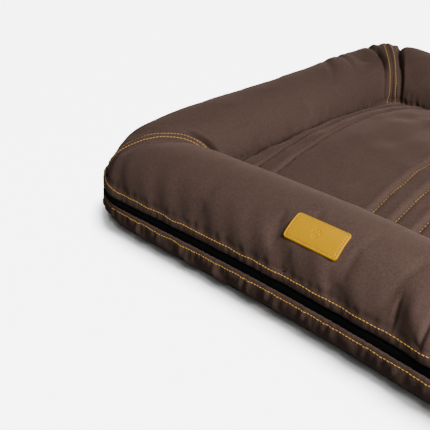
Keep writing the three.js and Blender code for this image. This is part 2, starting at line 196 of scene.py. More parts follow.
class Finish:
    """A material being made."""

    def __init__(self, name, **constants):
        self.material = bpy.data.materials.new(name)
        self.material.use_nodes = True
        self.tree = self.material.node_tree
        self.surface = self.tree.nodes["Principled BSDF"]
        for key, value in constants.items():
            self.surface.inputs[key.replace("_", " ")].default_value = value

    def node(self, kind, output, settings=(), **values):
        node = self.tree.nodes.new("ShaderNode" + kind)
        for key, value in dict(settings).items():
            setattr(node, key, value)
        for key, value in values.items():
            connect(self.tree, node.inputs[key.replace("_", " ")], value)
        return Value(self.tree, node.outputs[output])

    def cloth_place(self):
        """Metres along and across the cloth."""
        uv = self.node("UVMap", "UV")
        return self.node("SeparateXYZ", "X", Vector=uv), self.node("SeparateXYZ", "Y", Vector=uv)

    def noise(self, scale, detail=3.0, stretch=(1, 1, 1), place=None):
        place = place or self.node("TexCoord", "Object")
        where = self.node("VectorMath", "Vector", {"operation": "MULTIPLY"})
        connect(self.tree, where.socket.node.inputs[0], place)
        connect(self.tree, where.socket.node.inputs[1], stretch)
        return self.node("TexNoise", "Fac", Vector=where, Scale=scale, Detail=detail)

    def blend(self, factor, first, second):
        node = self.tree.nodes.new("ShaderNodeMix")
        node.data_type = "RGBA"
        slots = (node.inputs["Factor"], node.inputs[6], node.inputs[7])
        for slot, value in zip(slots, (factor, first, second)):
            connect(self.tree, slot, value)
        return Value(self.tree, node.outputs[2])

    def shade(self, colour, amount):
        """A colour made lighter or darker by a factor."""
        node = self.node("VectorMath", "Vector", {"operation": "SCALE"}, Scale=amount)
        connect(self.tree, node.socket.node.inputs[0], colour if isinstance(colour, Value) else colour[:3])
        return node

    def finish(self, colour=None, roughness=None, height=None, distance=MM, strength=1.0):
        if colour is not None:
            connect(self.tree, self.surface.inputs["Base Color"], colour)
        if roughness is not None:
            connect(self.tree, self.surface.inputs["Roughness"], roughness)
        if height is not None:
            normal = self.node("Bump", "Normal", Height=height, Distance=distance, Strength=strength)
            connect(self.tree, self.surface.inputs["Normal"], normal)
        return self.material


def rgb(red, green, blue):
    return (red, green, blue, 1.0)


# ---- Materials ----
def brown_fabric():
    """Smooth woven polyester canvas, dark brown with a soft sheen."""
    f = Finish("brown_fabric", Sheen_Weight=0.12, Sheen_Roughness=0.45, Sheen_Tint=rgb(0.9, 0.62, 0.5),
               Specular_IOR_Level=0.18)
    along, across = f.cloth_place()
    pitch = 2 * math.pi / (0.62 * MM)
    warp, weft = (along * pitch).sine(), (across * pitch).sine()
    weave = warp * weft * 0.5 + 0.5
    slub = f.noise(900, 2.0, (1, 1, 1))
    cloud = f.noise(9, 3.0)
    mottle = f.noise(70, 4.0)
    speckle = f.noise(420, 3.0)
    tone = 0.82 + 0.18 * weave + 0.2 * (slub - 0.5) + 0.8 * (speckle - 0.5)
    tone = tone + 0.2 * (cloud - 0.5) + 0.14 * (mottle - 0.5)
    colour = f.shade(f.blend(cloud, rgb(0.067, 0.0388, 0.0298), rgb(0.076, 0.0450, 0.0352)), tone)
    roughness = 0.70 + 0.12 * (mottle - 0.5) + 0.06 * weave
    return f.finish(colour, roughness, weave + 0.7 * slub + 1.2 * speckle, 0.12 * MM, 0.7)


def underside_fabric():
    """Dark coated cloth with rows of small rubber grip dots."""
    f = Finish("underside_fabric")
    along, across = f.cloth_place()
    pitch = math.pi / (7 * MM)
    dots = ((along * pitch).sine() * (across * pitch).sine()).size().step(0.78, 0.9)
    grain = f.noise(1400, 2.0)
    colour = f.blend(dots, rgb(0.020, 0.015, 0.013), rgb(0.006, 0.006, 0.006))
    return f.finish(f.shade(colour, 0.8 + 0.4 * grain), 0.85 - 0.3 * dots, dots + 0.15 * grain, 0.6 * MM, 0.8)


def liner_fabric():
    """Pale spun cloth of the inner bags."""
    f = Finish("liner_fabric", Sheen_Weight=0.2)
    fibres = f.noise(500, 5.0, (1, 3, 1))
    cloud = f.noise(12, 2.0)
    return f.finish(f.shade(rgb(0.72, 0.70, 0.65), 0.85 + 0.2 * fibres + 0.08 * cloud), 0.8 + 0.1 * fibres,
                    fibres, 0.3 * MM, 0.6)


def wadding():
    """Fluffy fibre fleece."""
    f = Finish("wadding", Sheen_Weight=0.4)
    fluff = f.noise(160, 8.0)
    colour = f.shade(rgb(0.83, 0.82, 0.79), 0.75 + 0.4 * fluff)
    return f.finish(colour, 0.95 - 0.1 * fluff, fluff, 2 * MM, 0.8)


def gold_thread():
    """Thick twisted polyester thread."""
    f = Finish("gold_thread", Sheen_Weight=0.25, Specular_IOR_Level=0.5)
    along, across = f.cloth_place()
    twist = ((along * 2200 + across * 2 * math.pi).sine()) * 0.5 + 0.5
    colour = f.blend(twist, rgb(0.42, 0.19, 0.012), rgb(0.72, 0.40, 0.04))
    return f.finish(f.shade(colour, 0.85 + 0.3 * f.noise(300)), 0.42 + 0.2 * twist, twist, 0.15 * MM, 0.7)


def zip_tape():
    """Black herringbone tape."""
    f = Finish("zip_tape", Specular_IOR_Level=0.12)
    along, across = f.cloth_place()
    zigzag = (across * (math.pi / (1.6 * MM))).sine().math("ARCSINE")
    zigzag = (zigzag * 0.8 + along * 7000).sine() * 0.5 + 0.5
    grain = f.noise(800, 2.0)
    colour = f.blend(zigzag, rgb(0.0009, 0.0012, 0.0013), rgb(0.0030, 0.0038, 0.0042))
    return f.finish(f.shade(colour, 0.8 + 0.4 * grain), 0.62 + 0.15 * grain, zigzag, 0.15 * MM, 0.7)


def zip_plastic():
    """Black nylon of the coil, with a painted highlight: the ridges of its turns are coloured lighter and
    bluish.
    """
    f = Finish("zip_plastic", Specular_IOR_Level=0.5)
    along, across = f.cloth_place()
    turns = (along * (2 * math.pi / (1.5 * MM)) + across * 300).sine() * 0.5 + 0.5
    scuff = f.noise(600, 3.0)
    # The ridges of the turns get the lighter bluish colour: a painted highlight.
    return f.finish(f.blend(turns, rgb(0.004, 0.0045, 0.005), rgb(0.016, 0.019, 0.020)), 0.34 + 0.2 * scuff,
                    turns, 0.4 * MM, 0.8)


def zip_metal():
    """Dark grey enamelled die-cast zinc, rubbed lighter in places."""
    f = Finish("zip_metal", Metallic=0.7)
    wear = f.noise(420, 5.0).step(0.62, 0.8)
    peel = f.noise(1500, 2.0)
    colour = f.blend(wear, rgb(0.075, 0.075, 0.08), rgb(0.26, 0.26, 0.265))
    return f.finish(colour, 0.32 + 0.18 * peel - 0.06 * wear, peel, 0.03 * MM, 0.5)


def yellow_leather():
    """Dyed leather, fine grain, with a burnished edge."""
    f = Finish("yellow_leather", Specular_IOR_Level=0.06)
    pores = f.node("TexVoronoi", "Distance", {"feature": "DISTANCE_TO_EDGE"}, Scale=1250.0,
                   Vector=f.node("TexCoord", "Object"))
    grain = pores.step(0.0, 0.16)
    cloud = f.noise(60, 4.0)
    colour = f.blend(cloud, rgb(0.50, 0.24, 0.0), rgb(0.57, 0.29, 0.0))
    return f.finish(f.shade(colour, 0.86 + 0.14 * grain), 0.5 - 0.12 * grain + 0.15 * cloud, grain + cloud,
                    0.06 * MM, 0.6)


def floor_paint():
    f = Finish("floor", Specular_IOR_Level=0.2)
    return f.finish(f.shade(rgb(0.80, 0.80, 0.80), 0.995 + 0.01 * f.noise(40)), 0.75 + 0.05 * f.noise(15))


MAKERS = (brown_fabric, underside_fabric, liner_fabric, wadding, gold_thread, zip_tape, zip_plastic,
          zip_metal, yellow_leather)
FINISH = {make.__name__: make() for make in MAKERS}


# ---- Meshes from grids of points ----
def add_piece(name, points, faces, slot, body="bed", uv=None, smooth=True):
    mesh = bpy.data.meshes.new(name)
    mesh.from_pydata(np.asarray(points, float).reshape(-1, 3).tolist(), [], faces)
    if uv is not None:
        layer = mesh.uv_layers.new(name="cloth")
        index = np.empty(len(mesh.loops), np.int32)
        mesh.loops.foreach_get("vertex_index", index)
        layer.data.foreach_set("uv", np.asarray(uv, float).reshape(-1, 2)[index].ravel())
    mesh.polygons.foreach_set("use_smooth", [smooth] * len(mesh.polygons))
    mesh.materials.append(FINISH[slot])
    piece = bpy.data.objects.new(name, mesh)
    bpy.context.collection.objects.link(piece)
    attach(piece, body)
    return piece


def grid_faces(rows, columns, loop_rows=False, loop_columns=False, start=0):
    i, j = np.meshgrid(np.arange(rows if loop_rows else rows - 1),
                       np.arange(columns if loop_columns else columns - 1), indexing="ij")
    i, j = i.ravel(), j.ravel()
    i2, j2 = (i + 1) % rows, (j + 1) % columns
    quads = np.stack([i * columns + j, i2 * columns + j, i2 * columns + j2, i * columns + j2], axis=1)
    return (quads + start).tolist()


def refine(grid, axis, closed):
    """Doubles a grid's lines along an axis, on smooth curves through its points."""
    p = np.moveaxis(grid, axis, 0)
    if closed:
        before, after, after2 = np.roll(p, 1, 0), np.roll(p, -1, 0), np.roll(p, -2, 0)
        middle = (9 * (p + after) - before - after2) / 16
        out = np.empty((2 * len(p),) + p.shape[1:])
        out[0::2], out[1::2] = p, middle
    else:
        ext = np.concatenate([2 * p[:1] - p[1:2], p, 2 * p[-1:] - p[-2:-1]])
        middle = (9 * (ext[1:-2] + ext[2:-1]) - ext[:-3] - ext[3:]) / 16
        out = np.empty((2 * len(p) - 1,) + p.shape[1:])
        out[0::2], out[1::2] = p, middle
    return np.moveaxis(out, 0, axis)


def slopes(grid, axis, closed):
    if closed:
        return np.roll(grid, -1, axis) - np.roll(grid, 1, axis)
    return np.gradient(grid, axis=axis)


def normals(grid, closed_rows=False, closed_columns=False):
    n = np.cross(slopes(grid, 0, closed_rows), slopes(grid, 1, closed_columns))
    return n / np.maximum(np.linalg.norm(n, axis=2, keepdims=True), 1e-12)


# ---- Randomness, always from a stated seed ----
def ripple(distance, wavelength, seed, spread=0.4, terms=5):
    """An irregular wave between about -1 and 1."""
    rng = np.random.default_rng(seed)
    total = np.zeros_like(distance)
    for _ in range(terms):
        length = wavelength * (1 + spread * (2 * rng.random() - 1))
        total = total + np.sin(2 * math.pi * (distance / length + rng.random()))
    return total / (0.75 * terms ** 0.5 * 1.4)


def bell(distance, width):
    return np.exp(-((distance / width) ** 2))


# ---- The plan: lines round the bed ----
def corner_radius(inset):
    share = np.maximum(0, 1 - np.maximum(inset, 0) / BOLSTER_WIDTH)
    return INNER_RADIUS + (OUTER_RADIUS - INNER_RADIUS) * share ** 1.35


def place(station, inset, z):
    """Points at a station, which is (side, share of the straight, angle round the corner)."""
    side, share, turn = station
    half, depth, bow, recess = (np.asarray(v)[side] for v in (HALF_OF, DEPTH_OF, BOW_OF, RECESS_OF))
    radius = corner_radius(inset)
    near_zip = bell(z - ZIP_Z, np.where(np.asarray(z) > ZIP_Z, 14 * MM, 10 * MM))
    recess = recess * near_zip * (1 - share ** 6) * np.clip(1 - np.asarray(inset) / (60 * MM), 0, 1)
    u = share * (half - inset - radius) + radius * np.sin(turn)
    d = inset + radius * (1 - np.cos(turn)) + bow * (1 - share ** 2) ** 2 + recess
    a, b = u, d - depth
    c, s = np.array([1, 0, -1, 0])[side], np.array([0, 1, 0, -1])[side]
    x, y = c * a - s * b, s * a + c * b
    return np.stack(np.broadcast_arrays(x, y, z), axis=-1)


def side_stations(side, step, last=True):
    """Stations along one side, from mitre to mitre."""
    arcs = max(2, round(OUTER_RADIUS * math.pi / 4 / step))
    straight = max(2, round(2 * (HALF_OF[side] - OUTER_RADIUS) / step))
    turn = np.concatenate([np.linspace(-math.pi / 4, 0, arcs + 1), np.zeros(straight - 1),
                           np.linspace(0, math.pi / 4, arcs + 1)])
    share = np.concatenate([-np.ones(arcs), np.linspace(-1, 1, straight + 1), np.ones(arcs)])
    keep = slice(None) if last else slice(-1)
    return np.full(len(turn), side)[keep], share[keep], turn[keep]


def ring_stations(step):
    parts = [side_stations(side, step, last=False) for side in range(4)]
    starts = np.cumsum([0] + [len(p[0]) for p in parts])
    return tuple(np.concatenate([p[i] for p in parts]) for i in range(3)), starts


def columns(station):
    """The same stations with a free axis for the points across."""
    return tuple(v[:, None] for v in station)


def distances(points):
    """The distance of each point along the line through them all."""
    return np.concatenate([[0], np.cumsum(np.linalg.norm(np.diff(points, axis=0), axis=1))])


def spread(curve, step):
    """Points at equal steps along a polyline."""
    curve = np.asarray(curve, float)
    run = distances(curve)
    count = max(2, round(run[-1] / step))
    at = np.linspace(0, run[-1], count + 1)
    return np.stack([np.interp(at, run, curve[:, i]) for i in range(curve.shape[1])], axis=1), at


# ---- Sections ----
def arch(share, shrink=0.0):
    angle = np.pi * (1 - share)
    half = BOLSTER_WIDTH / 2
    across = np.sign(np.cos(angle)) * np.abs(np.cos(angle)) ** (2 / ROUNDNESS)
    up = np.abs(np.sin(angle)) ** (2 / ROUNDNESS)
    height = SHOULDER_Z + (CREST_Z - SHOULDER_Z - shrink) * up
    return np.stack([half + (half - shrink) * across, height], axis=1)


def cover_section(shrink):
    """The bolster's cover from the zip, up over the crest and down to the seat's seam."""
    rise = [(0.4 * MM, FACING_Z - FACING_DROP), (0.4 * MM, FACING_Z + 3 * MM)]
    return np.concatenate([rise, arch(np.linspace(0, 1, 200), shrink)[2:-2],
                           [(BOLSTER_WIDTH - shrink / 2, SHOULDER_Z - 12 * MM)]])


def closed_slab(upper, lower):
    """An upper and a lower grid joined round their edge."""
    rows, count = upper.shape[:2]
    faces = grid_faces(rows, count) + [f[::-1] for f in grid_faces(rows, count, start=rows * count)]
    rim = [*(np.arange(rows) * count), *((rows - 1) * count + np.arange(1, count)),
           *((np.arange(rows - 2, -1, -1)) * count + count - 1), *np.arange(count - 2, 0, -1)]
    for m in range(len(rim)):
        i, j = int(rim[m]), int(rim[(m + 1) % len(rim)])
        faces.append([i, i + rows * count, j + rows * count, j])
    return np.stack([upper, lower]), faces


# ---- Cloth simulation ----
def inflate(name, grid, faces, held, pressure, shrink, limit, frames=20, bending=0.8, tension=18.0):
    """Blows cloth up between the points that hold it, and returns where its points come to rest."""
    points = grid.reshape(-1, 3)
    mesh = bpy.data.meshes.new(name)
    mesh.from_pydata(points.tolist(), [], faces)
    piece = bpy.data.objects.new(name, mesh)
    bpy.context.collection.objects.link(piece)
    group = piece.vertex_groups.new(name="held")
    weights = held.reshape(-1)
    for weight in np.unique(weights[weights > 0]):
        group.add(np.flatnonzero(weights == weight).tolist(), float(weight), "REPLACE")
    cloth = piece.modifiers.new("cloth", "CLOTH")
    s = cloth.settings
    s.quality, s.mass = 6, 0.25
    s.tension_stiffness = s.compression_stiffness = tension
    s.shear_stiffness, s.bending_stiffness = tension / 2, bending
    s.tension_damping = s.compression_damping = s.shear_damping = 12
    s.air_damping = 2.0
    s.use_pressure, s.uniform_pressure_force = True, pressure
    s.shrink_min = s.shrink_max = shrink
    s.vertex_group_mass = "held"
    s.effector_weights.gravity = 0
    cloth.collision_settings.use_collision = False
    cloth.point_cache.frame_start, cloth.point_cache.frame_end = 1, frames
    scene = bpy.context.scene
    for step in range(1, frames + 1):
        scene.frame_set(step)
    rested = piece.evaluated_get(bpy.context.evaluated_depsgraph_get())
    out = np.empty(len(points) * 3)
    rested.data.vertices.foreach_get("co", out)
    scene.frame_set(1)
    bpy.data.objects.remove(piece)
    move = out.reshape(-1, 3) - points
    length = np.linalg.norm(move, axis=1, keepdims=True)
    move *= np.minimum(1, limit / np.maximum(length, 1e-9))
    return (points + move).reshape(grid.shape)


# ---- Cloth surfaces with a place for everything sewn on them ----
class Surface:
    """A grid of points with the distance along and across at each line."""

    def __init__(self, grid, along, across):
        self.grid, self.along, self.across = grid, along, across
        self.normal = normals(grid)

    def at(self, along, across, lift=0.0):
        """Point and outward normal at distances along and across."""
        i = np.clip(np.interp(along, self.along, np.arange(len(self.along))), 0, len(self.along) - 1.001)
        j = np.clip(np.interp(across, self.across, np.arange(len(self.across))), 0, len(self.across) - 1.001)
        i0, j0 = i.astype(int), j.astype(int)
        a, b = (i - i0)[..., None], (j - j0)[..., None]
        read = lambda g: ((1 - a) * (1 - b) * g[i0, j0] + a * (1 - b) * g[i0 + 1, j0]
                          + (1 - a) * b * g[i0, j0 + 1] + a * b * g[i0 + 1, j0 + 1])
        normal = read(self.normal)
        normal /= np.linalg.norm(normal, axis=-1, keepdims=True)
        return read(self.grid) + normal * lift, normal


THREAD_RADIUS = 0.5 * MM


def sew(name, path, normal, pitch, body="bed", radius=THREAD_RADIUS, gap=0.16):
    """A row of separate stitches along a path that lies on the cloth."""
    run = distances(path)
    count = int(run[-1] / pitch)
    rings, sides = 6, 6
    share = np.linspace(0, 1, rings)
    along = (np.arange(count)[:, None] + gap / 2 + (1 - gap) * share[None, :]) * (run[-1] / count)
    read = lambda values: np.stack([np.interp(along, run, values[:, k]) for k in range(3)], axis=-1)
    centre, up = read(path), read(normal)
    up /= np.linalg.norm(up, axis=-1, keepdims=True)
    forward = np.gradient(centre, axis=1)
    forward /= np.linalg.norm(forward, axis=-1, keepdims=True)
    right = np.cross(forward, up)
    profile = np.sqrt(np.maximum(0.06, 1 - (2 * share - 1) ** 4))
    height = radius * (1.15 * profile - 0.75)
    centre = centre + up * height[None, :, None]
    angle = np.arange(sides) * 2 * math.pi / sides
    ring = (np.cos(angle)[None, None, :, None] * right[:, :, None, :]
            + np.sin(angle)[None, None, :, None] * up[:, :, None, :])
    points = centre[:, :, None, :] + ring * (radius * profile)[None, :, None, None]
    faces = []
    for k in range(count):
        first = k * rings * sides
        faces += grid_faces(rings, sides, loop_columns=True, start=first)
        faces.append([first + s for s in range(sides)])
        faces.append([first + (rings - 1) * sides + s for s in reversed(range(sides))])
    uv = np.stack(np.broadcast_arrays(along[:, :, None], (angle / (2 * math.pi))[None, None, :]), axis=-1)
    return add_piece(name, points, faces, "gold_thread", body, uv)


def with_hem(grid, normal, s, v, up):
    """Cloth with its edge at the zip turned in over the tape. up is 1 above the zip and -1 below it."""
    edge, inwards = grid[:, :1], -normal[:, :1]
    hem = edge + inwards * 1.3 * MM - np.array([0, 0, 0.35 * MM * up])
    back = edge + inwards * 2.0 * MM + np.array([0, 0, 3 * MM * up])
    uv = np.stack(np.broadcast_arrays(s, v), axis=-1)
    uv = np.concatenate([uv[:, :1] - [0, 4 * MM], uv[:, :1] - [0, 1.4 * MM], uv], axis=1)
    return np.concatenate([back, hem, grid], axis=1), uv


# ---- Bolsters ----
STEP = 6.2 * MM


def build_bolsters():
    """The four bolster covers, blown up as one ring of cloth and parted at their corner seams."""
    station, starts = ring_stations(STEP)
    section, _ = spread(cover_section(5 * MM), STEP)
    shown = len(section)
    under = np.stack([np.linspace(BOLSTER_WIDTH - 8 * MM, 8 * MM, 8), np.full(8, FACING_Z - 1 * MM)], axis=1)
    whole = np.concatenate([section, under])
    grid = place(columns(station), whole[None, :, 0], whole[None, :, 1])
    held = np.zeros(grid.shape[:2])
    held[:, shown:], held[:, :2], held[:, shown - 1] = 1, 1, 1
    for k in range(4):
        held[starts[k], :] = np.maximum(held[starts[k], :], 0.35)
    blown = inflate("bolster_ring", grid, grid_faces(*grid.shape[:2], True, True), held,
                    pressure=4.0, shrink=-0.003, limit=14 * MM, bending=8.0)
    ring = refine(refine(blown[:, :shown], 0, True), 1, False)
    ring = refine(refine(ring, 0, True), 1, False)
    return [bolster_cover(side, ring, starts * (len(ring) // len(blown))) for side in range(4)]


# How the cover lies at the corner where each side starts: slump of its outer shoulder, sag of its crest and
# puff beside it.
CORNER_AT = ((13 * MM, 5 * MM, 0.0), (8 * MM, 4 * MM, 0.0), (6 * MM, 4 * MM, 2 * MM), (0.0, 1 * MM, 6 * MM))

# Deep folds across a bolster: share along the side, depth, width, lean.
PINCHES = {
    "left": [(0.235, 3.6 * MM, 7 * MM, 0.35), (0.17, 1.6 * MM, 6 * MM, -0.2)],
    "front": [(0.575, 0.8 * MM, 6 * MM, 0.25), (0.655, 1.2 * MM, 6 * MM, 0.3), (0.80, 2.0 * MM, 9 * MM, 0.4),
              (0.27, 1.0 * MM, 10 * MM, -0.3)],
    "right": [(0.30, 2.4 * MM, 8 * MM, -0.3), (0.72, 1.8 * MM, 8 * MM, 0.3)],
    "back": [(0.16, 2.6 * MM, 8 * MM, 0.3), (0.62, 1.4 * MM, 10 * MM, -0.4)],
}


def creases(along, across, length, seed):
    """Short dark folds that rise from the zip's seam, leaning either way."""
    rng = np.random.default_rng(seed)
    depth = np.zeros(np.broadcast(along, across).shape)
    at = 0.10
    while at < length - 0.08:
        lean = rng.choice([-1.0, 1.0]) * (0.3 + 0.7 * rng.random())
        reach = (8 + 16 * rng.random() ** 2) * MM
        width = (1.5 + 1.2 * rng.random()) * MM
        size = (0.5 + 1.3 * rng.random() ** 2) * MM
        rise = np.maximum(across - 6 * MM, 0)
        fold = (along - at - lean * rise) / (width + 0.25 * rise)
        depth -= size * np.exp(-fold ** 2) * bell(rise, reach) * np.clip((across - 7 * MM) / (4 * MM), 0, 1)
        at += (12 + 34 * rng.random()) * MM
    return depth


def fold(distance, steep, gentle):
    """A crease's section: 1 at its bottom, with a steep side and a gentle one."""
    return np.where(distance < 0, bell(distance, steep), bell(distance, gentle))


def gathers(from_seam, share, seed):
    """The folds beside one corner seam: deep towards the seat, fanning out towards the zip."""
    rng = np.random.default_rng(seed)
    inner = np.clip((share - 0.40) / 0.2, 0, 1) * np.clip((1 - share) / 0.06, 0, 1)
    deep = 16 * MM + 2 * MM * rng.random() - 8 * MM * (share - 0.6)
    move = -10 * MM * inner * fold(from_seam - deep, 2.6 * MM, 4.5 * MM)
    fan = 13 * MM + 60 * MM * np.maximum(0.68 - share, 0) ** 1.25
    crescent = np.clip((0.74 - share) / 0.1, 0, 1) * np.clip((share - 0.24) / 0.18, 0, 1)
    move = move - 7.5 * MM * crescent * fold(from_seam - fan, 2.2 * MM, 7 * MM)
    for _ in range(4):
        top, start = 0.55 + 0.35 * rng.random(), (12 + 7 * rng.random()) * MM
        spread_out = (30 + 60 * rng.random()) * MM
        run = top - share
        at = start + spread_out * np.maximum(run, 0) ** 1.4
        size = (2.2 + 3.0 * rng.random()) * MM
        reach = bell(np.maximum(run, 0), 0.16 + 0.14 * rng.random()) * np.clip(1 + run / 0.06, 0, 1)
        move = move - size * reach * bell(from_seam - at, (2.0 + 1.5 * rng.random()) * MM)
    return move


# Hollows and ridges of a cover: from the side's start, width, share across, width, height.
SWELLS = {
    "left": [(60 * MM, 26 * MM, 0.52, 0.15, -12 * MM), (22 * MM, 5 * MM, 0.62, 0.30, 5 * MM),
             (150 * MM, 9 * MM, 0.48, 0.16, -5 * MM)],
    "front": [(505 * MM, 2.4 * MM, 0.12, 0.08, -3.2 * MM), (541 * MM, 2.6 * MM, 0.13, 0.09, -3.6 * MM),
              (553 * MM, 2.2 * MM, 0.12, 0.06, -2.6 * MM), (590 * MM, 2.8 * MM, 0.14, 0.10, -3.4 * MM),
              (522 * MM, 9 * MM, 0.17, 0.10, 2.0 * MM), (569 * MM, 9 * MM, 0.17, 0.10, 2.2 * MM)],
}


def cover_ripples(side, s, v, calm, stitch):
    """The small waves of a cover, which die away beside its corner seams."""
    seed = 100 + 10 * side
    edge = v.max() - v
    move = -0.45 * MM * bell(v - stitch, 1.9 * MM)
    move = move + 0.45 * MM * (0.4 + ripple(s, 10 * MM, seed)) * bell(v - stitch * 0.45, 4 * MM) * calm
    move = move + 0.75 * MM * ripple(s, 15 * MM, seed + 1) * bell(v - stitch - 6 * MM, 6 * MM) * calm
    move = move + 1.6 * MM * ripple(s + 0.5 * v, 55 * MM, seed + 2) * bell(v - 28 * MM, 30 * MM) * calm
    move = move + 0.9 * MM * ripple(s - 0.3 * v, 90 * MM, seed + 3) * ripple(v, 70 * MM, seed + 4)
    move = move + creases(s, v, s.max(), seed + 5) * calm
    move = move + 1.1 * MM * ripple(s, 21 * MM, seed + 6) * bell(edge - 5 * MM, 14 * MM) * calm
    move = move - 3 * MM * bell(edge - 8 * MM, 6 * MM)
    return move


def cover_corners(side, from_start, from_seam, share):
    """How a cover slumps or stands up at its corner seams, which lie in a groove between their stitches."""
    seed = 100 + 10 * side
    move = 0
    rise = np.clip(np.sin(np.pi * share), 0, 1)
    for from_end, (slump, sag, puff), turn in ((from_start, CORNER_AT[side], 7),
                                               (from_start[-1:] - from_start, CORNER_AT[(side + 1) % 4], 8)):
        move = move - slump * bell(share - 0.32, 0.24) * np.clip(share / 0.12, 0, 1) * bell(from_end, 72 * MM)
        move = move - sag * rise * bell(from_end, 30 * MM) + puff * rise * bell(from_end, 120 * MM)
        move = move + gathers(from_end, share, seed + turn)
    move = move + 3.6 * MM * rise * np.exp(-(from_seam / (9.5 * MM)) ** 4)
    move = move - 2.2 * MM * bell(from_seam, 1.7 * MM) - 0.9 * MM * bell(from_seam - SEAM_TO_STITCH, 1.4 * MM)
    return move


def cover_hollows(side, s, v, from_start):
    """The single pinches, hollows and ridges of one cover."""
    length, width = s.max(), v.max()
    share = v / width
    move = 0
    for where, depth, wide, lean in PINCHES.get(SIDES[side], ()):
        beside = s - where * length - lean * (v - width / 2)
        move = move - depth * bell(beside, wide) * bell(v - 0.36 * width, 0.26 * width)
        swell = bell(beside + 4.2 * wide * np.sign(where - 0.5), 3.0 * wide)
        move = move + 0.6 * depth * swell * bell(v - 0.4 * width, 0.3 * width)
    for centre, wide, middle_share, share_wide, height in SWELLS.get(SIDES[side], ()):
        at = from_start if SIDES[side] == "left" else s  # the left one's lie close to its slanting seam
        above_row = np.clip((v - 7 * MM) / (4 * MM), 0, 1)
        move = move + height * bell(at - centre, wide) * bell(share - middle_share, share_wide) * above_row
    return move


def sew_corner(side, surface, from_start, across):
    """The row of topstitch beside each of a cover's two corner seams."""
    for name, end in (("start", 0), ("end", 1)):
        at = np.interp(np.linspace(0.012, 0.985, 260), [0, 1], [0, across[-1]])
        line = []
        for value in at:
            column = int(np.clip(np.searchsorted(across, value), 0, len(across) - 1))
            run = from_start[:, column]
            target = SEAM_TO_STITCH if end == 0 else run[-1] - SEAM_TO_STITCH
            line.append(np.interp(target, run, surface.along))
        path, normal = surface.at(np.array(line), at, 0.1 * MM)
        thread = sew(f"corner_stitches_{SIDES[side]}_{name}", path, normal, 4.6 * MM)
        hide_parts(f"corner_topstitch_{SIDES[side]}_{name}")


def bolster_cover(side, ring, starts):
    first, last = starts[side], starts[side + 1]
    grid = ring[np.arange(first, last + 1) % len(ring)]
    outer = grid[:, 0]
    along = distances(outer)
    middle = grid[len(grid) // 2]
    across = distances(middle)
    s, v = along[:, None], across[None, :]
    width = across[-1]
    # True distances to the two corner seams, along each line of the grid.
    step = np.linalg.norm(np.diff(grid, axis=0), axis=2)
    from_start = np.concatenate([np.zeros((1, grid.shape[1])), np.cumsum(step, axis=0)])
    from_seam = np.minimum(from_start, from_start[-1:] - from_start)
    calm = 1 - bell(from_seam, 12 * MM)
    stitch = UPPER_STITCH_Z - FACING_Z + FACING_DROP
    move = cover_ripples(side, s, v, calm, stitch)
    move = move + cover_corners(side, from_start, from_seam, v / width)
    move = move + cover_hollows(side, s, v, from_start)
    grid = grid + normals(grid) * move[..., None]
    grid[..., 2] -= HANG_OF[side] * np.clip(1 - v / (6.5 * MM), 0, 1) * np.clip(from_seam / (50 * MM), 0, 1)
    surface = Surface(grid, along, across)
    grid, uv = with_hem(grid, surface.normal, s, v, 1)
    piece = add_piece(f"cover_{SIDES[side]}", grid, grid_faces(*grid.shape[:2]), "brown_fabric", uv=uv)
    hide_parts(f"bolster_cover_{SIDES[side]}")
    sew_corner(side, surface, from_start, across)
    return surface, stitch


def wall_section():
    angle = np.linspace(0, math.pi / 2, 60)
    top = WALL_TOP_Z - 4 * MM
    floor = 0.9 * MM
    bend = np.stack([0.4 * MM + WALL_TUCK * (1 - np.cos(angle)), top - (top - floor) * np.sin(angle)], axis=1)
    return np.concatenate([[(0.4 * MM, WALL_TOP_Z)], bend])


def lower_wall(side):
    station = side_stations(side, 3.1 * MM)
    section, across = spread(wall_section(), 2.2 * MM)
    grid = place(columns(station), section[None, :, 0], section[None, :, 1])
    along = distances(grid[:, 0])
    s, v = along[:, None], across[None, :]
    length, width = along[-1], across[-1]
    calm = 1 - bell(np.minimum(s, length - s), 10 * MM)
    stitch = WALL_TOP_Z - LOWER_STITCH_Z
    seed = 300 + 10 * side
    near_floor = np.clip((width - v) / (10 * MM), 0, 1)
    move = -0.45 * MM * bell(v - stitch, 1.8 * MM) * (1 + 0 * s)
    move = move + 0.45 * MM * (0.4 + ripple(s, 9 * MM, seed)) * bell(v - stitch * 0.5, 3.5 * MM) * calm
    gathered = bell(v - stitch - 9 * MM, 9 * MM) * calm
    move = move + 1.9 * MM * ripple(s + 0.25 * v, 15 * MM, seed + 1) * gathered
    move = move + 1.9 * MM * ripple(s - 0.3 * v, 38 * MM, seed + 2) * bell(v - 22 * MM, 14 * MM) * calm
    move = (move + creases(s, v, length, seed + 3) * 0.8 * calm) * near_floor
    grid = grid + normals(grid) * -move[..., None]
    grid[..., 2] = np.maximum(grid[..., 2], 0.7 * MM)
    surface = Surface(grid, along, across)
    surface.normal = -surface.normal
    grid, uv = with_hem(grid, surface.normal, s, v, -1)
    piece = add_piece(f"wall_{SIDES[side]}", grid, grid_faces(*grid.shape[:2]), "brown_fabric", uv=uv)
    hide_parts(f"lower_wall_{SIDES[side]}")
    return surface, stitch


def sew_round(name, parts, node):
    """One row of topstitch round all four sides."""
    paths, ups = [], []
    for surface, stitch in parts:
        at = np.arange(surface.along[0], surface.along[-1], 0.7 * MM)
        sway = 0.35 * MM * ripple(at, 45 * MM, 7)
        path, normal = surface.at(at, stitch + sway, 0.1 * MM)
        paths.append(path)
        ups.append(normal)
    path, up = np.concatenate(paths), np.concatenate(ups)
    thread = sew(name, np.concatenate([path, path[:1]]), np.concatenate([up, up[:1]]), 4.5 * MM)
    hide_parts(node)


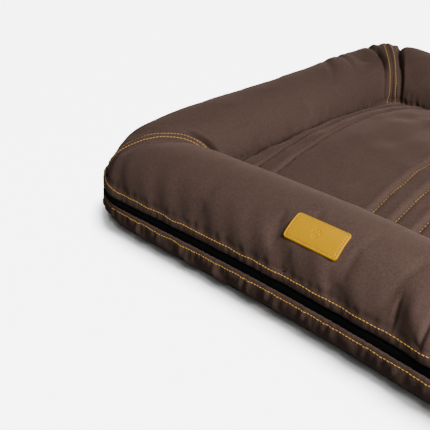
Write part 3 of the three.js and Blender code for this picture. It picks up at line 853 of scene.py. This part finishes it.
# ---- Seat ----
ROW_NODES = ("outer_left", "inner_left", "middle_left", "middle", "middle_right", "inner_right", "outer_right")
ROWS = [sum(corner.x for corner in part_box(f"quilt_stitch_{name}")) / 2 for name in ROW_NODES]
SEAT_HALF_X = HALF_LENGTH - BOLSTER_WIDTH + 2 * MM
SEAT_HALF_Y = HALF_WIDTH - BOLSTER_WIDTH + 2 * MM
SEAT_RIM_Z = 58 * MM
SEAT_RISE = SEAT_TOP - SEAT_RIM_Z - 3 * MM
QUILTED_HALF_Y = 0.93 * SEAT_HALF_Y  # the rows of quilting stop short of the seat's seam


def seat_height(x, y):
    share_x, share_y = np.abs(x) / SEAT_HALF_X, np.abs(y) / SEAT_HALF_Y
    along = np.maximum(0, 1 - share_x ** 4) ** 0.8
    return SEAT_RIM_Z + SEAT_RISE * along * np.maximum(0, 1 - share_y ** 2) ** 0.9


def row_lines():
    """X of the grid's lines, with one on each row of quilting."""
    stops = [-SEAT_HALF_X, *ROWS, SEAT_HALF_X]
    lines = [np.linspace(a, b, max(2, round((b - a) / STEP)) + 1)[:-1] for a, b in zip(stops, stops[1:])]
    return np.concatenate([*lines, [SEAT_HALF_X]])


def seat_relief(sx, sy):
    """The furrows of the quilting, the puckers beside them and the seat's slow waves."""
    move = np.zeros(sx.shape)
    for k, row in enumerate(ROWS):
        reach = np.clip((QUILTED_HALF_Y - np.abs(sy)) / (12 * MM), 0, 1)
        beside = sx - row
        move -= 2.4 * MM * bell(beside, 2.2 * MM) * reach
        move += 1.3 * MM * bell(beside + 7 * MM, 5 * MM) * reach * (1 + 0.4 * ripple(sy, 60 * MM, 500 + k))
        move += 0.25 * MM * ripple(sy, 14 * MM, 520 + k) * bell(np.abs(beside) - 4 * MM, 4 * MM) * reach
    border = np.minimum(SEAT_HALF_X - np.abs(sx), SEAT_HALF_Y - np.abs(sy))
    turn = np.where(SEAT_HALF_X - np.abs(sx) < SEAT_HALF_Y - np.abs(sy), sy, sx)
    move += 0.6 * MM * ripple(turn, 26 * MM, 540) * bell(border - 10 * MM, 14 * MM)
    move -= 5 * MM * bell(border, 8 * MM)
    move += 1.0 * MM * ripple(sx + 0.4 * sy, 110 * MM, 541) * ripple(sy - 0.3 * sx, 90 * MM, 542)
    return move


def sew_quilting(surface):
    for row, name in zip(ROWS, ROW_NODES):
        at = np.arange(-QUILTED_HALF_Y, QUILTED_HALF_Y, 0.8 * MM)
        sway = 0.5 * MM * ripple(at, 60 * MM, 560)
        sunk = 0.30 * MM if "outer" in name or "inner" in name else 0.0
        path, normal = surface.at(np.full(len(at), row) + sway, at, 0.1 * MM - sunk)
        thread = sew(f"quilting_{name}", path, normal, 5.0 * MM, radius=0.36 * MM, gap=0.36)
        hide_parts(f"quilt_stitch_{name}")


def build_seat():
    x = row_lines()
    y = np.linspace(-SEAT_HALF_Y, SEAT_HALF_Y, round(2 * SEAT_HALF_Y / STEP) + 1)
    gx, gy = np.meshgrid(x, y, indexing="ij")
    grid = np.stack([gx, gy, seat_height(gx, gy)], axis=-1)
    held = np.zeros(gx.shape)
    held[0], held[-1], held[:, 0], held[:, -1] = 1, 1, 1, 1
    for row in ROWS:
        i = int(np.argmin(np.abs(x - row)))
        inside = np.abs(y) < QUILTED_HALF_Y
        held[i, inside] = 1
        grid[i, inside, 2] -= 2.2 * MM
    blown = inflate("seat_cloth", grid, grid_faces(*gx.shape), held, pressure=3.0, shrink=-0.002,
                    limit=10 * MM, bending=6.0)
    fine = refine(refine(blown, 0, False), 1, False)
    sx, sy = (refine(refine(g, 0, False), 1, False) for g in (gx, gy))
    fine = fine + normals(fine) * seat_relief(sx, sy)[..., None]
    uv = np.stack([sx, sy], axis=-1)
    piece = add_piece("seat_top", fine, grid_faces(*sx.shape), "brown_fabric", uv=uv)
    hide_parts("seat_panel")
    sew_quilting(Surface(fine, sx[:, 0], sy[0]))


# ---- Zip ----
def zip_stations(step, start, end):
    """From the zip's start on the back wall, round the left, the front and the right, to its end."""
    (side, share, turn), starts = ring_stations(step)
    order = np.arange(len(side))
    back = order[starts[2]:starts[3]]
    straight = HALF_LENGTH - OUTER_RADIUS
    x = -share * straight
    first = [i for i in back if (turn[i] > 0) or (turn[i] == 0 and x[i] < start)]
    last = [i for i in back if (turn[i] < 0) or (turn[i] == 0 and x[i] > end)]
    keep = [*first, *order[starts[3]:], *order[:starts[2]], *last]
    ends = [(2, -start / straight, 0.0), (2, -end / straight, 0.0)]
    join = lambda values, k: np.array([ends[0][k], *values[keep], ends[1][k]])
    return join(side, 0).astype(int), join(share, 1), join(turn, 2)


def band(name, station, section, slot):
    """A closed section carried along the zip."""
    section = np.asarray(section, float)
    grid = place(columns(station), section[None, :, 0], section[None, :, 1])
    along = distances(grid[:, 0])
    across = distances(section)
    rows, count = grid.shape[:2]
    faces = grid_faces(rows, count, loop_columns=True)
    faces.append(list(range(count))[::-1])
    faces.append([(rows - 1) * count + k for k in range(count)])
    uv = np.stack(np.broadcast_arrays(along[:, None], across[None, :]), axis=-1)
    return add_piece(name, grid, faces, slot, uv=uv)


def half_zip(sign):
    """One tape and its row of coil, above or below the parting line."""
    word = "upper" if sign > 0 else "lower"
    start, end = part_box("zip_retainer_box")[1].x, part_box("zip_upper_stop")[0].x
    z = lambda away: ZIP_Z + sign * away
    reach = (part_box(f"{word}_zip_tape")[1].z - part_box(f"{word}_zip_tape")[0].z) + 1.0 * MM
    profile = ((1.35, 0.5), (0.8, 0.55), (0.6, 1.6), (0.8, 4.2), (2.3, 6.4), (2.9, 10), (7, reach / MM),
               (7.6, reach / MM), (3.5, 10), (2.9, 6.4), (1.4, 4.2), (1.3, 1.6))  # mm in and away
    tape = [(inset * MM, z(away * MM)) for inset, away in profile]
    piece = band(f"tape_{word}", zip_stations(5 * MM, start, end), tape, "zip_tape")
    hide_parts(f"{word}_zip_tape")
    angle = np.linspace(0, 2 * math.pi, 8, endpoint=False)
    coil = [(2.3 * MM - 0.8 * MM * math.cos(a), z(1.45 * MM) + 1.1 * MM * math.sin(a) * sign) for a in angle]
    gap = 7.5 * MM
    piece = band(f"coil_{word}", zip_stations(5 * MM, start - gap, end + 3 * MM), coil, "zip_plastic")
    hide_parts(f"{word}_zip_coil")


# ---- Label ----
LABEL_LENGTH, LABEL_WIDTH, LABEL_CORNER, LABEL_THICKNESS = 73 * MM, 34 * MM, 4.5 * MM, 1.5 * MM
LABEL_SHIFT = -6 * MM
LABEL_ACROSS = 65 * MM  # from the zip up the cover to the label's middle
LABEL_STITCH_INSET = 2.6 * MM


def smooth_patch(surface, along, across, half_a, half_b):
    """A curved sheet that lies on the cloth: its middle, its directions and its height as a function."""
    a, b = np.meshgrid(np.linspace(-half_a, half_a, 15), np.linspace(-half_b, half_b, 9), indexing="ij")
    points, _ = surface.at(along + a, across + b)
    points = points.reshape(-1, 3)
    middle = points.mean(axis=0)
    _, _, axes = np.linalg.svd(points - middle)
    e1 = axes[0] * np.sign(axes[0][0])
    e2 = axes[1] * np.sign(axes[1][2])
    e3 = np.cross(e1, e2)
    p, q, h = ((points - middle) @ e for e in (e1, e2, e3))
    terms = lambda p, q: np.stack([np.ones_like(p), p, q, p * p, p * q, q * q], axis=-1)
    fit, *_ = np.linalg.lstsq(terms(p, q), h, rcond=None)
    lift = np.max(h - terms(p, q) @ fit)
    return middle, e1, e2, e3, lambda p, q: terms(p, q) @ fit + 0.5 * lift


def paw(p, q):
    """A plain paw print pressed into the leather: 1 inside, 0 outside."""
    pads = [(0, -2.2, 4.0, 3.0), (-4.9, 2.0, 1.5, 2.0), (-1.8, 4.3, 1.5, 2.1), (1.8, 4.3, 1.5, 2.1),
            (4.9, 2.0, 1.5, 2.0)]
    depth = np.zeros_like(p)
    for x, y, a, b in pads:
        r = np.sqrt(((p / MM - x) / a) ** 2 + ((q / MM - y) / b) ** 2)
        depth = np.maximum(depth, np.clip((1.12 - r) / 0.24, 0, 1))
    return depth


def round_corners(a, b, half_a, half_b, radius):
    """Moves a rectangle's grid so that its corners are round."""
    x = np.clip((np.abs(a) - (half_a - radius)) / radius, 0, 1)
    y = np.clip((np.abs(b) - (half_b - radius)) / radius, 0, 1)
    inner_a, inner_b = half_a - radius, half_b - radius
    p = np.where(np.abs(a) > inner_a, inner_a + radius * x * np.sqrt(1 - y * y / 2), np.abs(a))
    q = np.where(np.abs(b) > inner_b, inner_b + radius * y * np.sqrt(1 - x * x / 2), np.abs(b))
    return p * np.sign(a), q * np.sign(b)


def edge_distance(p, q, half_a, half_b, radius):
    x, y = np.abs(p) - (half_a - radius), np.abs(q) - (half_b - radius)
    outside = np.hypot(np.maximum(x, 0), np.maximum(y, 0))
    return radius - outside - np.minimum(np.maximum(x, y), 0)


def build_label(surface):
    middle_at = surface.along[-1] / 2 + LABEL_SHIFT
    half_a, half_b = LABEL_LENGTH / 2, LABEL_WIDTH / 2
    middle, e1, e2, e3, height = smooth_patch(surface, middle_at, LABEL_ACROSS, half_a, half_b)
    a, b = np.meshgrid(np.linspace(-half_a, half_a, 160), np.linspace(-half_b, half_b, 76), indexing="ij")
    p, q = round_corners(a, b, half_a, half_b, LABEL_CORNER)
    inside = edge_distance(p, q, half_a, half_b, LABEL_CORNER)
    dome = np.sqrt(np.maximum(0, 1 - (1 - np.clip(inside / (1.3 * MM), 0, 1)) ** 2))
    top = LABEL_THICKNESS * (0.25 + 0.75 * dome)
    top = top + 0.25 * MM * bell(inside - 1.2 * MM, 0.7 * MM)
    top = top - 0.6 * MM * bell(inside - LABEL_STITCH_INSET, 0.8 * MM) - 0.35 * MM * paw(p, q)
    base = middle + p[..., None] * e1 + q[..., None] * e2 + height(p, q)[..., None] * e3
    upper = base + top[..., None] * e3
    lower = base - 1.5 * MM * e3
    points, faces = closed_slab(upper, lower)
    uv = np.stack([p, q], axis=-1)
    piece = add_piece("label", points, faces, "yellow_leather", uv=np.stack([uv, uv]))
    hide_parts("leather_label")
    corner = LABEL_CORNER - LABEL_STITCH_INSET
    x, y = half_a - LABEL_CORNER, half_b - LABEL_CORNER
    line = []
    for k, (cx, cy) in enumerate(((x, y), (-x, y), (-x, -y), (x, -y))):
        for t in np.linspace(k * math.pi / 2, (k + 1) * math.pi / 2, 9):
            line.append((cx + corner * math.cos(t), cy + corner * math.sin(t)))
    line, _ = spread(line + line[:1], 0.4 * MM)
    path = middle + line[:, :1] * e1 + line[:, 1:] * e2
    path = path + (height(line[:, 0], line[:, 1]) + LABEL_THICKNESS - 0.4 * MM)[:, None] * e3
    sew("label_stitches", path, np.tile(e3, (len(path), 1)), 3.2 * MM, radius=0.42 * MM, gap=0.36)


# ---- Filling ----
def lumpy(points, size, seed):
    """Moves points a little, as fibre filling settles unevenly."""
    x, y = points[..., 0], points[..., 1]
    wave = ripple(x + 0.6 * y, 70 * MM, seed) * ripple(y - 0.5 * x, 60 * MM, seed + 1)
    return points + np.stack([0 * x, 0 * y, size * wave], axis=-1)


def bolster_insert(side):
    """The filled bag inside one bolster."""
    station = side_stations(side, 12 * MM)
    low = [(132, 26), (126, 9), (114, 2.4), (28, 2.4), (19, 8), (13, 19), (10, 31)]
    section = np.concatenate([arch(np.linspace(0, 1, 26), 12 * MM), np.array(low) * MM])
    section[:, 1] = np.where(section[:, 1] > SHOULDER_Z, section[:, 1] - 2 * MM, section[:, 1])
    grid = place(columns(station), section[None, :, 0], section[None, :, 1])
    centre = grid.mean(axis=1, keepdims=True)
    end = np.minimum(np.arange(len(grid)), np.arange(len(grid))[::-1])[:, None, None]
    grid = centre + (grid - centre) * (1 - 0.62 * np.exp(-(end / 11) ** 2))
    lumps = lumpy(grid, 1.5 * MM, 700 + side)
    grid = np.where(grid[..., 2:] > 40 * MM, lumps, grid)
    rows, count = grid.shape[:2]
    faces = grid_faces(rows, count, loop_columns=True)
    faces += [list(range(count))[::-1], [(rows - 1) * count + k for k in range(count)]]
    along = np.linspace(0, 1, rows)[:, None] * 2 * HALF_OF[side]
    uv = np.stack(np.broadcast_arrays(along, np.linspace(0, 0.4, count)[None, :]), axis=-1)
    piece = add_piece(f"bag_{SIDES[side]}", grid, faces, "liner_fabric", uv=uv)
    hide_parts(f"bolster_insert_{SIDES[side]}")


def layer(name, slot, node, top_drop, bottom, inset):
    """A soft slab under the seat's cloth. bottom is a height, or a drop below the seat if negative."""
    half_x, half_y = SEAT_HALF_X - inset, SEAT_HALF_Y - inset
    a, b = np.meshgrid(np.linspace(-half_x, half_x, 56), np.linspace(-half_y, half_y, 42), indexing="ij")
    x, y = round_corners(a, b, half_x, half_y, 45 * MM)
    rim = np.clip(edge_distance(x, y, half_x, half_y, 45 * MM) / (22 * MM), 0, 1)
    roll = 9 * MM * (1 - np.sqrt(1 - (1 - rim) ** 2))
    top = seat_height(x, y) - top_drop - roll
    low = np.full_like(top, bottom) if bottom > 0 else seat_height(x, y) + bottom - roll
    upper = lumpy(np.stack([x, y, top], axis=-1), 1.0 * MM, 720)
    lower = np.stack([x, y, low], axis=-1)
    points, faces = closed_slab(upper, lower)
    uv = np.stack([x, y], axis=-1)
    piece = add_piece(name, points, faces, slot, uv=np.stack([uv, uv]))
    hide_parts(node)


# ---- Base ----
def base_panel():
    station, _ = ring_stations(8 * MM)
    insets = [12.5 * MM, 13.5 * MM, 30 * MM, 70 * MM, 130 * MM]
    z_low = lambda inset: 0.0 if inset > 13 * MM else 0.5 * MM
    rings = [place(station, np.full(len(station[0]), n), z_low(n)) for n in insets]
    rings += [ring * [share, share, 1] for ring, share in ((rings[-1], 0.66), (rings[-1], 0.33))]
    top = [ring * [1, 1, 0] + [0, 0, BASE_TOP_Z * 0.9] for ring in rings]
    grid = np.stack(top[::-1] + rings)
    rows, count = grid.shape[:2]
    faces = grid_faces(rows, count, loop_columns=True)
    for first, sign in ((0, 1), ((rows - 1) * count, -1)):
        faces.append([first + k for k in range(count)][::sign])
    piece = add_piece("base_cloth", grid, faces, "underside_fabric", uv=grid[..., :2])
    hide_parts("base_panel")


# ---- Everything together ----
def make_floor(lights):
    """A pale floor that curves up far away, with lamps of its own so that it stays even."""
    rings = ((12.0, 0.0), (18.0, 0.8), (26.0, 3.6), (36.0, 9.5), (48.0, 20.0), (58.0, 36.0))
    turns = np.linspace(0, 2 * math.pi, 48, endpoint=False)
    points = [(reach * math.cos(turn), reach * math.sin(turn), rise)
              for reach, rise in rings for turn in turns]
    count = len(turns)
    corner = lambda k, i: k * count + i % count
    quads = [(corner(k, i), corner(k, i + 1), corner(k + 1, i + 1), corner(k + 1, i))
             for k in range(len(rings) - 1) for i in range(count)]
    mesh = bpy.data.meshes.new("floor")
    mesh.from_pydata(points, [], [tuple(range(count)), *quads])
    mesh.materials.append(floor_paint())
    floor = bpy.data.objects.new("floor", mesh)
    floor.location.z = -0.1 * MM
    floor.visible_diffuse = floor.visible_glossy = False
    bpy.context.collection.objects.link(floor)
    only_floor = bpy.data.collections.new("only_floor")
    only_floor.objects.link(floor)
    for name, towards, strength, softness in (("floor_key", (0.05, 0.28, 1.0), 22.0, 24),
                                              ("floor_middle", (0.0, 0.2, 1.0), 4.5, 55),
                                              ("floor_wash", (0.0, 0.1, 1.0), 0.8, 120)):
        light = soft_sun(name, towards, strength, softness)
        light.light_linking.receiver_collection = only_floor
    not_floor = bpy.data.collections.new("not_floor")
    not_floor.objects.link(floor)
    not_floor.collection_objects[0].light_linking.link_state = "EXCLUDE"
    for light in lights:
        light.light_linking.receiver_collection = not_floor
        light.light_linking.blocker_collection = not_floor


def finish_frame_nodes():
    """Gives each carried-over part of the frame its finish."""
    slots = {part["node"]: part["material_slot"] for part in frame["record"]["subparts"]}
    for name, node in frame["nodes"].items():
        for material_slot in node.material_slots:
            material_slot.material = FINISH[slots[name]]


make_camera()
make_floor(make_studio())
covers = build_bolsters()
walls = [lower_wall(side) for side in range(4)]
sew_round("zip_stitches_upper", covers, "upper_zip_topstitch")
sew_round("zip_stitches_lower", walls, "lower_zip_topstitch")
build_seat()
half_zip(1)
half_zip(-1)
build_label(covers[0][0])
for side in range(4):
    bolster_insert(side)
layer("wadding_sheet", "wadding", "seat_wadding", 6 * MM, -11 * MM, 14 * MM)
layer("seat_bag", "liner_fabric", "seat_insert", 13 * MM, 2.2 * MM, 8 * MM)
base_panel()
finish_frame_nodes()
